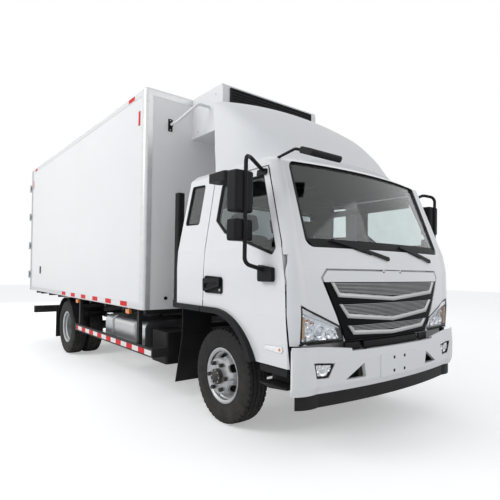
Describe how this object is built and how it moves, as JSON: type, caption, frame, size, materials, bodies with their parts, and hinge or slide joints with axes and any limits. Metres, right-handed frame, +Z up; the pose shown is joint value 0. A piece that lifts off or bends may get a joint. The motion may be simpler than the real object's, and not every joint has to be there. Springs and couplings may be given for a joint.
{
  "type": "refrigerated truck",
  "caption": "White cab-over refrigerated truck with an insulated box, cooling unit, tilting cab, opening doors and steered front wheels.",
  "frame": {"origin": "on the ground under the middle of the overall length and width", "axes": "+X forwards, +Y to the truck's left, +Z up"},
  "size_m": [6.935, 2.5654, 3.03],
  "materials": {
    "white_paint": "gloss white paint",
    "box_white": "white panel skin",
    "profile": "pale anodised profile",
    "black_plastic": "grained black plastic",
    "chassis_black": "black chassis paint",
    "silver": "silver wheel paint",
    "bare_aluminium": "brushed aluminium",
    "steel": "galvanised and bare steel",
    "iron": "dark castings",
    "tyre": "black tyre rubber",
    "glass": "clear green tinted glass",
    "lamp": "clear lamp lens",
    "seat_cloth": "dark grey seat cloth",
    "dash": "dark grey dash moulding"
  },
  "bodies": {
    "chassis": {"frame": "chassis_black", "axles": "iron", "leaf_springs": "iron", "engine": "iron", "propeller_shaft": "steel", "fuel_tank": "bare_aluminium", "battery_box": "black_plastic", "silencer": "steel", "guards": "chassis_black", "mudguards": "black_plastic", "intake_duct": "black_plastic", "front_bumper": "white_paint", "bumper_inner": "black_plastic", "chassis_lamps": "lamp", "box_floor": "bare_aluminium", "box_side_walls": "box_white", "box_front_wall": "box_white", "box_roof": "box_white", "box_profiles": "profile", "box_rear_frame": "steel", "box_bearers": "chassis_black", "cooling_unit": "box_white", "cooling_grille": "black_plastic"},
    "cab": {"cab_roof": "white_paint", "cab_back": "white_paint", "cab_floor": "chassis_black", "cab_front": "white_paint", "cab_glass": "glass", "headlamps": "lamp", "wipers": "black_plastic", "roof_fairing": "white_paint", "seats": "seat_cloth", "dashboard": "dash", "steering_wheel": "dash", "steps_and_flares": "black_plastic", "look_down_mirror": "black_plastic"},
    "front_lid": {"front_flap": "white_paint", "grille": "black_plastic"},
    "track_rod": {"track_rod": "steel"},
    "door_right": {"door_panel_right": "white_paint", "door_glass_right": "glass", "door_fittings_right": "black_plastic"},
    "knuckle_right": {"knuckle_right": "iron"},
    "front_wheel_right": {"front_wheel_right": "silver", "front_tyre_right": "tyre"},
    "rear_wheels_right": {"rear_wheels_right": "silver", "rear_tyres_right": "tyre"},
    "rear_door_right": {"rear_door_right": "box_white", "rear_door_locks_right": "steel"},
    "door_left": {"door_panel_left": "white_paint", "door_glass_left": "glass", "door_fittings_left": "black_plastic"},
    "knuckle_left": {"knuckle_left": "iron"},
    "front_wheel_left": {"front_wheel_left": "silver", "front_tyre_left": "tyre"},
    "rear_wheels_left": {"rear_wheels_left": "silver", "rear_tyres_left": "tyre"},
    "rear_door_left": {"rear_door_left": "box_white", "rear_door_locks_left": "steel"}
  },
  "joints": [
    {"name": "cab_tilt", "type": "hinge", "parent": "chassis", "child": "cab", "pos_m": [3.3975, 0, 0.655], "axis": [0, 1, 0], "range_deg": [0, 45]},
    {"name": "front_lid_hinge", "type": "hinge", "parent": "cab", "child": "front_lid", "pos_m": [3.3905, 0, 1.256], "axis": [0, -1, 0], "range_deg": [0, 70]},
    {"name": "door_right_hinge", "type": "hinge", "parent": "cab", "child": "door_right", "pos_m": [3.2625, -1.005, 1.2], "axis": [0, 0, 1], "range_deg": [0, 70]},
    {"name": "steer_right", "type": "hinge", "parent": "chassis", "child": "knuckle_right", "pos_m": [2.4125, -0.68, 0.3875], "axis": [0, 0, 1], "range_deg": [-35, 35]},
    {"name": "front_wheel_right_spin", "type": "hinge", "parent": "knuckle_right", "child": "front_wheel_right", "pos_m": [2.4125, -0.82, 0.3875], "axis": [0, 1, 0], "continuous": true},
    {"name": "rear_wheels_right_spin", "type": "hinge", "parent": "chassis", "child": "rear_wheels_right", "pos_m": [-1.3875, -0.86, 0.3875], "axis": [0, 1, 0], "continuous": true},
    {"name": "rear_door_right_hinge", "type": "hinge", "parent": "chassis", "child": "rear_door_right", "pos_m": [-3.4575, -1.165, 1.9], "axis": [0, 0, 1], "range_deg": [0, 270]},
    {"name": "door_left_hinge", "type": "hinge", "parent": "cab", "child": "door_left", "pos_m": [3.2625, 1.005, 1.2], "axis": [0, 0, -1], "range_deg": [0, 70]},
    {"name": "steer_left", "type": "hinge", "parent": "chassis", "child": "knuckle_left", "pos_m": [2.4125, 0.68, 0.3875], "axis": [0, 0, 1], "range_deg": [-35, 35]},
    {"name": "front_wheel_left_spin", "type": "hinge", "parent": "knuckle_left", "child": "front_wheel_left", "pos_m": [2.4125, 0.82, 0.3875], "axis": [0, 1, 0], "continuous": true},
    {"name": "rear_wheels_left_spin", "type": "hinge", "parent": "chassis", "child": "rear_wheels_left", "pos_m": [-1.3875, 0.86, 0.3875], "axis": [0, 1, 0], "continuous": true},
    {"name": "rear_door_left_hinge", "type": "hinge", "parent": "chassis", "child": "rear_door_left", "pos_m": [-3.4575, 1.165, 1.9], "axis": [0, 0, -1], "range_deg": [0, 270]},
    {"name": "track_rod_swivel", "type": "hinge", "parent": "knuckle_right", "child": "track_rod", "pos_m": [2.2425, -0.68, 0.292], "axis": [0, 0, 1], "range_deg": [-35, 35]}
  ],
  "couplings": [
    {"joint": "steer_left", "follows": "steer_right", "ratio": 1},
    {"joint": "track_rod_swivel", "follows": "steer_right", "ratio": -1}
  ]
}
